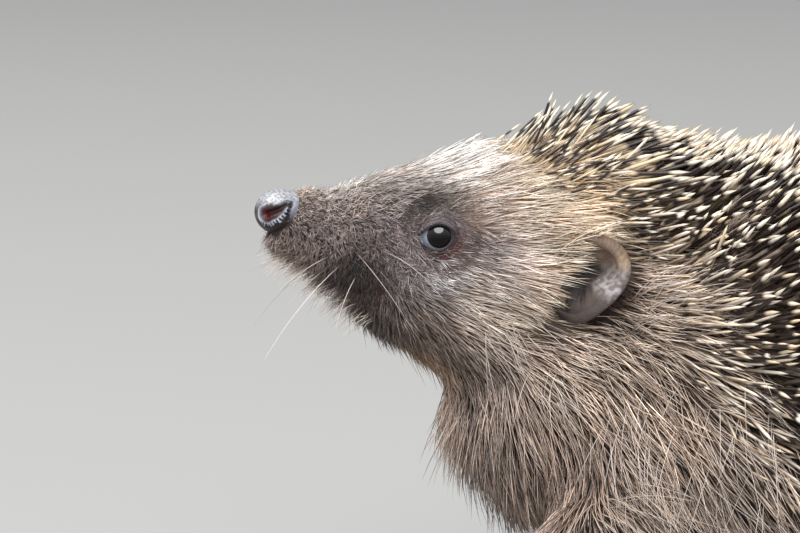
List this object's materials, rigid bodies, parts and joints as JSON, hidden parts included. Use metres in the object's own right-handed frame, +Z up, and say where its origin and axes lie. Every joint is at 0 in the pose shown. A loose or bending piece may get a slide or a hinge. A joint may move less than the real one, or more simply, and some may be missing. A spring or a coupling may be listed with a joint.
{
  "type": "hedgehog",
  "caption": "European hedgehog standing on four feet with its head raised to sniff: pointed furred face, wet nose, half-moon ears and a back covered in banded spines.",
  "frame": {"origin": "middle of the footprint of the whole animal, on the floor that its soles stand on", "axes": "+Z up, -X the way the body faces, -Y its left side"},
  "size_m": [0.2384, 0.136, 0.1166],
  "materials": {
    "face_fur": "short coarse hair, dark on the muzzle and cream on the brow and cheeks",
    "body_fur": "long coarse grey-brown hair with pale tips",
    "spines": "smooth horn, banded cream and dark brown",
    "bare_skin": "bare grey-brown skin, finely creased",
    "ear": "thin leathery skin, paler at the rim",
    "nose": "wet, glossy and finely pebbled",
    "eye": "wet, dark brown to black",
    "claw": "satin horn",
    "whisker": "stiff pale hair"
  },
  "bodies": {
    "root": {"head": "face_fur", "lower_jaw": "face_fur", "nose": "nose", "eye_left": "eye", "ear_left": "ear", "eye_right": "eye", "ear_right": "ear", "neck": "body_fur", "trunk_mantle": "spines", "trunk_belly": "body_fur", "tail": "body_fur", "leg_front_left": "body_fur", "foot_front_left": "bare_skin", "claw_front_left_1": "claw", "claw_front_left_2": "claw", "claw_front_left_3": "claw", "claw_front_left_4": "claw", "claw_front_left_5": "claw", "leg_front_right": "body_fur", "foot_front_right": "bare_skin", "claw_front_right_1": "claw", "claw_front_right_2": "claw", "claw_front_right_3": "claw", "claw_front_right_4": "claw", "claw_front_right_5": "claw", "leg_hind_left": "body_fur", "foot_hind_left": "bare_skin", "claw_hind_left_1": "claw", "claw_hind_left_2": "claw", "claw_hind_left_3": "claw", "claw_hind_left_4": "claw", "claw_hind_left_5": "claw", "leg_hind_right": "body_fur", "foot_hind_right": "bare_skin", "claw_hind_right_1": "claw", "claw_hind_right_2": "claw", "claw_hind_right_3": "claw", "claw_hind_right_4": "claw", "claw_hind_right_5": "claw"}
  },
  "joints": []
}
